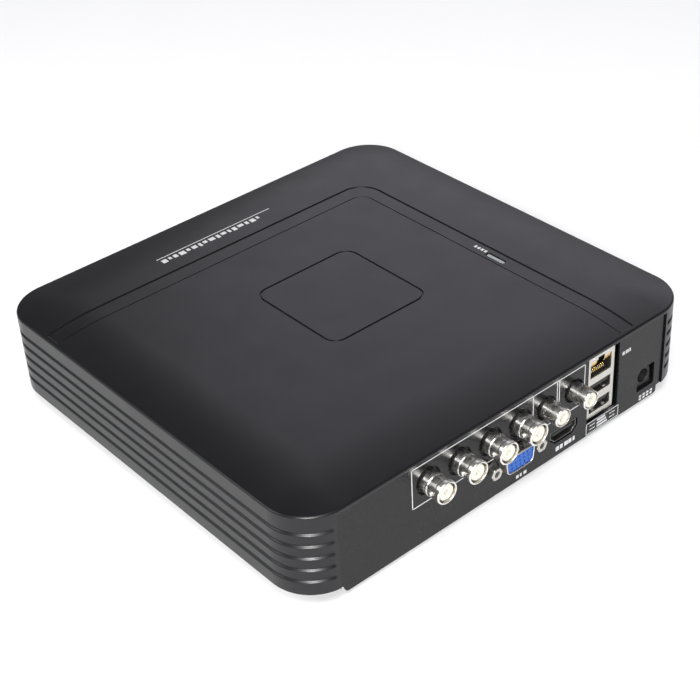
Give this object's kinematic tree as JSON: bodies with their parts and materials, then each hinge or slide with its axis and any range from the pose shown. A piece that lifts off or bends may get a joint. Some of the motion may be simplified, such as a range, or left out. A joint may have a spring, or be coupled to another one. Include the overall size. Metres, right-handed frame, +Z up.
{
  "type": "dvr recorder",
  "caption": "Compact desktop video recorder: ribbed black case with softly domed top, rear panel of video, audio, display, network and power sockets, hard drive inside.",
  "frame": {"origin": "on the plane the feet rest on, midway along the overall width and the overall depth (jacks included)", "axes": "+Z up, +Y towards the connector panel at the rear, +X to the right seen from the front"},
  "size_m": [0.212, 0.2114, 0.0457],
  "materials": {
    "shell_black": "satin moulded black ABS with a faint fine grain",
    "tray_black": "black powder-coated pressed steel",
    "panel_black": "flat matte black painted steel with white printed lines",
    "foot_rubber": "matte black rubber",
    "nickel_plate": "bright nickel plate, slightly warm",
    "tin_shield": "thin tinned steel sheet, dull bright",
    "screw_zinc": "bright zinc plated steel",
    "insulator_white": "off-white moulded insulator",
    "insert_blue": "blue moulded contact insert",
    "insert_black": "black moulded contact carrier",
    "board_green": "green solder-masked glass-fibre board",
    "chip_black": "black moulded epoxy package",
    "sink_aluminium": "plain extruded aluminium",
    "cell_steel": "nickel plated steel can",
    "light_clear": "clear moulded light guide",
    "led_white": "white light emitting diode package",
    "drive_casting": "machined aluminium casting",
    "drive_lid": "brushed stainless lid",
    "drive_disc": "polished disc",
    "magnet_plate": "nickel plated magnet",
    "cable_jacket": "black cable jacket and moulded plugs"
  },
  "bodies": {
    "recorder": {"top_shell": "shell_black", "base_tray": "tray_black", "rear_panel": "panel_black", "foot_front_left": "foot_rubber", "foot_front_right": "foot_rubber", "foot_rear_left": "foot_rubber", "foot_rear_right": "foot_rubber", "case_screw_1": "screw_zinc", "case_screw_2": "screw_zinc", "case_screw_3": "screw_zinc", "case_screw_4": "screw_zinc", "board_screw_1": "screw_zinc", "board_screw_2": "screw_zinc", "drive_screw_1": "screw_zinc", "drive_screw_2": "screw_zinc", "drive_screw_3": "screw_zinc", "drive_screw_4": "screw_zinc", "vga_jack_screw_left": "screw_zinc", "vga_jack_screw_right": "screw_zinc", "video_jack_1": "nickel_plate", "video_jack_2": "nickel_plate", "video_jack_3": "nickel_plate", "video_jack_4": "nickel_plate", "audio_jack_1": "nickel_plate", "audio_jack_2": "nickel_plate", "vga_shell": "nickel_plate", "hdmi_shell": "nickel_plate", "power_jack_pin": "nickel_plate", "video_insulator_1": "insulator_white", "video_insulator_2": "insulator_white", "video_insulator_3": "insulator_white", "video_insulator_4": "insulator_white", "audio_insulator_1": "insulator_white", "audio_insulator_2": "insulator_white", "jack_block": "insert_black", "hdmi_tongue": "insert_black", "port_stack_insert": "insert_black", "power_jack_body": "insert_black", "coin_cell_holder": "insert_black", "drive_data_socket": "insert_black", "drive_power_socket": "insert_black", "buzzer": "insert_black", "vga_insert": "insert_blue", "port_stack_shield": "tin_shield", "main_board": "board_green", "drive_board": "board_green", "processor_chip": "chip_black", "memory_chip": "chip_black", "heatsink": "sink_aluminium", "power_capacitor": "sink_aluminium", "coin_cell": "cell_steel", "light_guide": "light_clear", "status_led": "led_white", "drive_base": "drive_casting", "drive_cover": "drive_lid", "drive_magnet": "magnet_plate", "drive_data_cable": "cable_jacket", "drive_power_cable": "cable_jacket"},
    "platter": {"drive_platter": "drive_disc"},
    "head_arm": {"drive_head_arm": "drive_casting"}
  },
  "joints": [
    {"name": "platter_spin", "type": "hinge", "parent": "recorder", "child": "platter", "pos_m": [0.0342, -0.0403, 0.02], "axis": [0, 0, 1], "continuous": true},
    {"name": "head_swing", "type": "hinge", "parent": "recorder", "child": "head_arm", "pos_m": [-0.0238, -0.0403, 0.02], "axis": [0, 0, 1], "range_deg": [-36, 0]}
  ]
}
